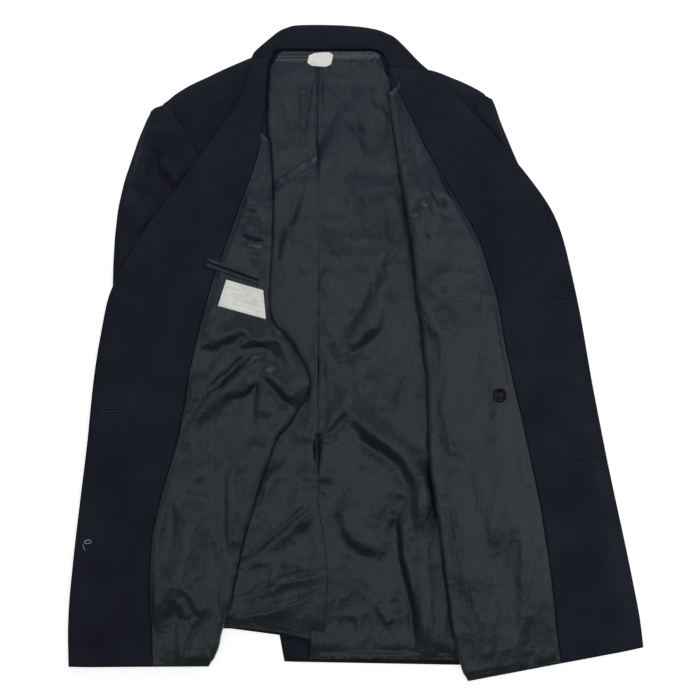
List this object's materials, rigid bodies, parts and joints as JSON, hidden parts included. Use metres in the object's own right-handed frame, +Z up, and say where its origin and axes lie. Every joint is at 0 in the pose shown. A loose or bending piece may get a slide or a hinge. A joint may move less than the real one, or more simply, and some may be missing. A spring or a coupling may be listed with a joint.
{
  "type": "military dress tunic laid open",
  "caption": "Dark double-breasted wool tunic laid flat on its back, opened out to show its satin lining, facings, inside pocket, labels and inside button.",
  "frame": {"origin": "middle of the bounding box on the surface that the tunic lies on", "axes": "+Z up off the surface, +Y up the back towards the collar, +X towards the wearer's left front"},
  "size_m": [0.7056, 0.8053, 0.0192],
  "materials": {
    "wool": "navy wool worsted, matt, fine twill",
    "lining": "dark grey-green satin lining, crinkled, soft sheen",
    "label": "off-white woven label",
    "button": "glossy black resin"
  },
  "bodies": {
    "root": {"back_right": "wool", "back_left": "wool", "side_body_right": "wool", "side_body_left": "wool", "back_lining_right": "lining", "back_lining_left": "lining", "front_right": "wool", "front_left": "wool", "facing_right": "wool", "facing_left": "wool", "front_lining_right": "lining", "front_lining_left": "lining", "sleeve_top_right": "wool", "sleeve_top_left": "wool", "sleeve_under_right": "wool", "sleeve_under_left": "wool", "collar": "wool", "pocket_jet_upper": "lining", "pocket_jet_lower": "lining", "name_label": "label", "neck_label": "label", "button_inside": "button"}
  },
  "joints": []
}
